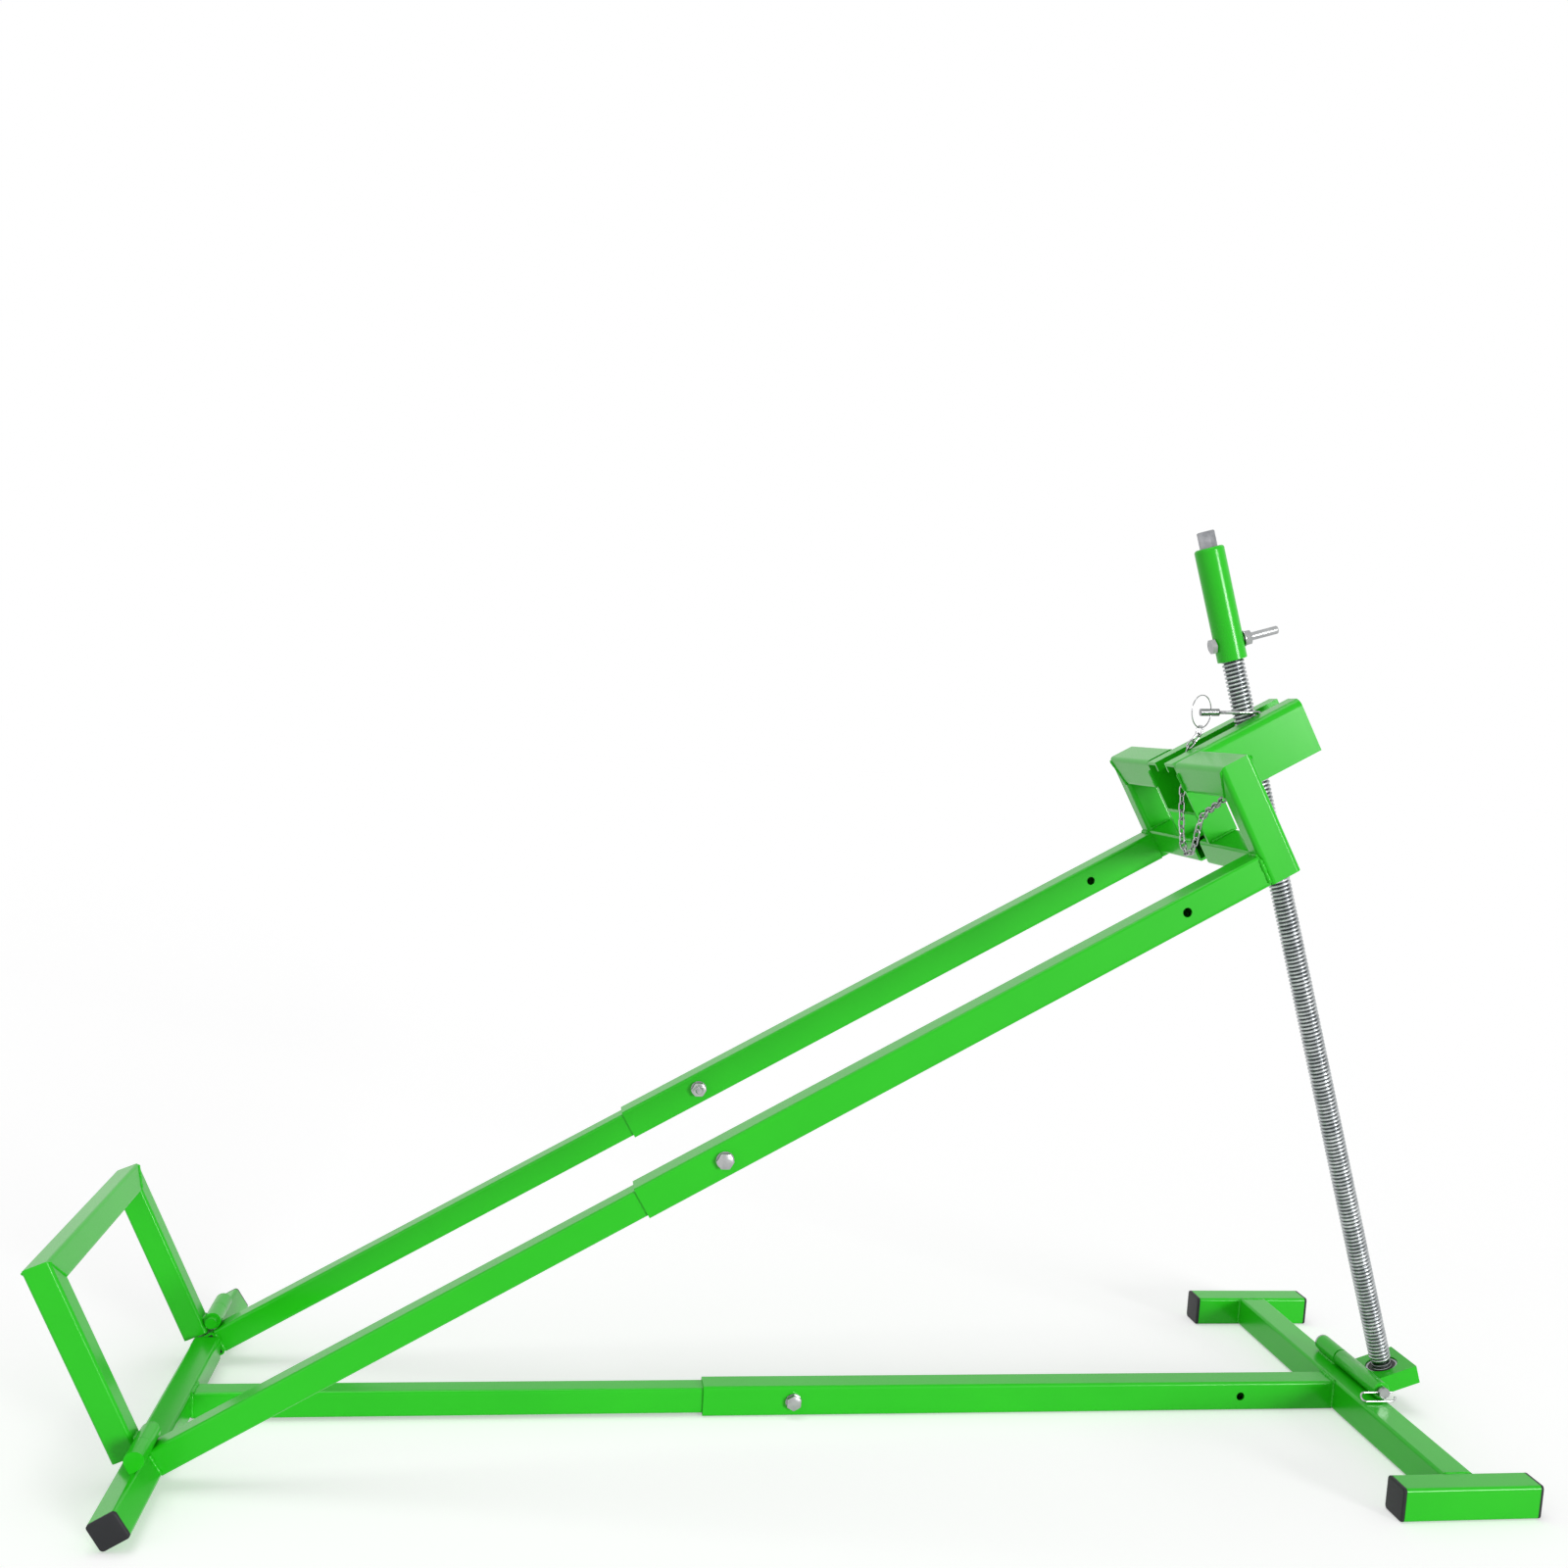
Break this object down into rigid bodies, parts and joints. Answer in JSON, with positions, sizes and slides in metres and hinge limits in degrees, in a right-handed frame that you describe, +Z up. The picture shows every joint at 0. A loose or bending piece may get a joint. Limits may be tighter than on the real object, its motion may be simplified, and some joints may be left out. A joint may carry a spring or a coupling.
{
  "type": "lawn mower lift",
  "caption": "Low steel base with a pivoting arm that tilts a ride-on mower; a drill-driven screw spindle raises the arm and a folding hoop stops the rear wheels.",
  "frame": {"origin": "middle of the front cross tube's underside, on the ground", "axes": "+X runs from the arm's pivot towards the spindle, +Y is the left side, +Z is up"},
  "size_m": [1.6749, 0.674, 1.1207],
  "materials": {
    "green_paint": "glossy bright green powder coat",
    "galvanised_steel": "galvanised, rolled thread",
    "zinc_plate": "zinc plated",
    "bright_chrome": "bright plated",
    "bearing_steel": "ground steel",
    "black_plastic": "moulded, matt",
    "black_seal": "smooth seal"
  },
  "bodies": {
    "base": {"front_cross_tube": "green_paint", "foot_right": "green_paint", "foot_left": "green_paint", "base_beam_outer": "green_paint", "base_beam_inner": "green_paint", "rear_tube": "green_paint", "foot_caps": "black_plastic", "pivot_shaft": "zinc_plate", "rear_bushes": "black_plastic", "beam_bolt": "zinc_plate", "beam_nut": "zinc_plate", "beam_washers": "zinc_plate", "foot_barrel_fixed": "green_paint", "foot_pin": "zinc_plate", "foot_clip": "zinc_plate"},
    "arm": {"stub_bushes": "black_plastic", "stub_right": "green_paint", "stub_left": "green_paint", "stub_caps": "black_plastic", "arm_barrel_right": "green_paint", "arm_barrel_left": "green_paint", "rail_outer_right": "green_paint", "rail_outer_left": "green_paint", "rail_inner_right": "green_paint", "rail_inner_left": "green_paint", "rail_bolts": "zinc_plate", "rail_nuts": "zinc_plate", "rail_washers": "zinc_plate", "upright_right": "green_paint", "upright_left": "green_paint", "top_cross_right": "green_paint", "top_cross_left": "green_paint", "lower_cross_right": "green_paint", "lower_cross_left": "green_paint", "side_plate_right": "green_paint", "side_plate_left": "green_paint", "top_channel": "green_paint", "stop_pins": "green_paint", "safety_pin": "bright_chrome", "split_ring": "bright_chrome", "chain": "bright_chrome"},
    "wheel_stop": {"stop_upright_right": "green_paint", "stop_upright_left": "green_paint", "stop_bar": "green_paint", "stop_barrels": "green_paint"},
    "spindle_foot": {"foot_barrel_moving": "green_paint", "bearing_block": "green_paint", "bearing_outer_ring": "bearing_steel", "bearing_balls": "bearing_steel", "bearing_seal": "black_seal"},
    "spindle": {"spindle": "galvanised_steel", "bearing_inner_ring": "bearing_steel", "spring_ring": "bearing_steel", "drive_sleeve": "green_paint", "drive_hexagon": "bearing_steel", "sleeve_bolt": "zinc_plate", "sleeve_nut": "zinc_plate", "sleeve_washer": "zinc_plate"},
    "lift_nut": {"lift_nut": "bearing_steel"}
  },
  "joints": [
    {"name": "spindle_turn", "type": "hinge", "parent": "spindle_foot", "child": "spindle", "pos_m": [0.05454, 0, 0.0549], "axis": [0.3123, 0, -0.95], "range_deg": [-51640, 3700]},
    {"name": "arm_lift", "type": "hinge", "parent": "base", "child": "arm", "pos_m": [-1.463, 0, 0.02188], "axis": [0, -1, 0], "range_deg": [-28, 2]},
    {"name": "foot_tilt", "type": "hinge", "parent": "base", "child": "spindle_foot", "pos_m": [0.0125, 0, 0.0515], "axis": [0, -1, 0], "range_deg": [-12.1, 0.9]},
    {"name": "nut_slide", "type": "slide", "parent": "spindle_foot", "child": "lift_nut", "axis": [-0.3123, 0, 0.95], "range_m": [-0.7175, 0.0515]},
    {"name": "wheel_stop_fold", "type": "hinge", "parent": "arm", "child": "wheel_stop", "pos_m": [-1.45925, 0, 0.05519], "axis": [0, 1, 0], "range_deg": [0, 87]}
  ],
  "couplings": [
    {"joint": "spindle_turn", "follows": "arm_lift", "ratio": 1843.9},
    {"joint": "foot_tilt", "follows": "arm_lift", "ratio": 0.43},
    {"joint": "nut_slide", "follows": "arm_lift", "m_per_rad": 1.4673}
  ]
}
